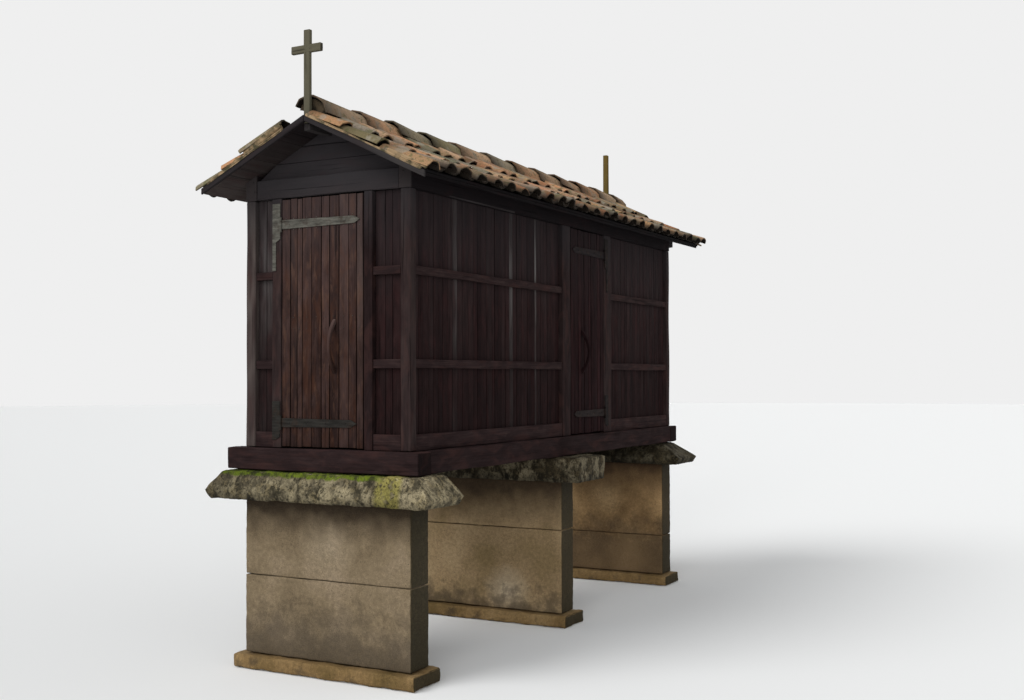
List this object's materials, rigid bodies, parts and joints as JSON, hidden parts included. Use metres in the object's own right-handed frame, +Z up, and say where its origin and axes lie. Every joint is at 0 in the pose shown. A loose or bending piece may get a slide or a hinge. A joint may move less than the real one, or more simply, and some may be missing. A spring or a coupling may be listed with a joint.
{
  "type": "raised granary",
  "caption": "Narrow boarded granary with plank doors, raised on stone piers with overhanging capstones, under a clay-tiled gable roof with a ridge cross and post.",
  "frame": {"origin": "on the ground, under the middle of the roof's length and width", "axes": "+X across the chamber towards the side with a door, +Y along it from the door gable to the rear gable, +Z up"},
  "size_m": [2.1562, 5.64, 4.7047],
  "materials": {
    "granite": "rough cut, weathered",
    "capstone_granite": "rough, lichened",
    "frame_timber": "weathered, dark stain",
    "wall_boards": "weathered, dark stain",
    "door_boards": "weathered, dark stain",
    "roof_timber": "weathered",
    "clay_tile": "fired clay, lichened",
    "weathered_oak": "weathered, mossy",
    "forged_iron": "weathered grey"
  },
  "bodies": {
    "granary": {"footings": "granite", "pier_front_lower_stone": "granite", "pier_front_upper_stone": "granite", "pier_middle_lower_stone": "granite", "pier_middle_upper_stone": "granite", "pier_rear_lower_stone": "granite", "pier_rear_upper_stone": "granite", "capstone_front": "capstone_granite", "capstone_middle": "capstone_granite", "capstone_rear": "capstone_granite", "sill_front": "frame_timber", "sill_rear": "frame_timber", "side_sills": "frame_timber", "chamber_floor": "roof_timber", "front_posts": "frame_timber", "rear_posts": "frame_timber", "tie_beams": "frame_timber", "wall_plates": "frame_timber", "front_door_jambs": "frame_timber", "side_door_jambs": "frame_timber", "rails_front": "frame_timber", "rails_rear": "frame_timber", "rails_left": "frame_timber", "rails_right": "frame_timber", "boards_front": "wall_boards", "boards_rear": "wall_boards", "boards_left": "wall_boards", "boards_right": "wall_boards", "gable_boards": "wall_boards", "ridge_beam": "roof_timber", "roof_deck_left": "roof_timber", "roof_deck_right": "roof_timber", "barge_boards": "roof_timber", "roof_tiles_left": "clay_tile", "roof_tiles_right": "clay_tile", "ridge_tiles": "clay_tile", "ridge_cross": "weathered_oak", "ridge_finial": "weathered_oak", "door_hinge_leaves": "forged_iron"},
    "front_door": {"front_door": "door_boards", "front_door_straps": "forged_iron", "front_door_pull": "weathered_oak"},
    "side_door": {"side_door": "door_boards", "side_door_straps": "forged_iron", "side_door_pull": "weathered_oak"}
  },
  "joints": [
    {"name": "front_door_hinge", "type": "hinge", "parent": "granary", "child": "front_door", "pos_m": [-0.4065, -2.5605, 1.668], "axis": [0, 0, -1], "range_deg": [0, 110]},
    {"name": "side_door_hinge", "type": "hinge", "parent": "granary", "child": "side_door", "pos_m": [0.7605, 0.7735, 1.668], "axis": [0, 0, 1], "range_deg": [0, 110]}
  ]
}
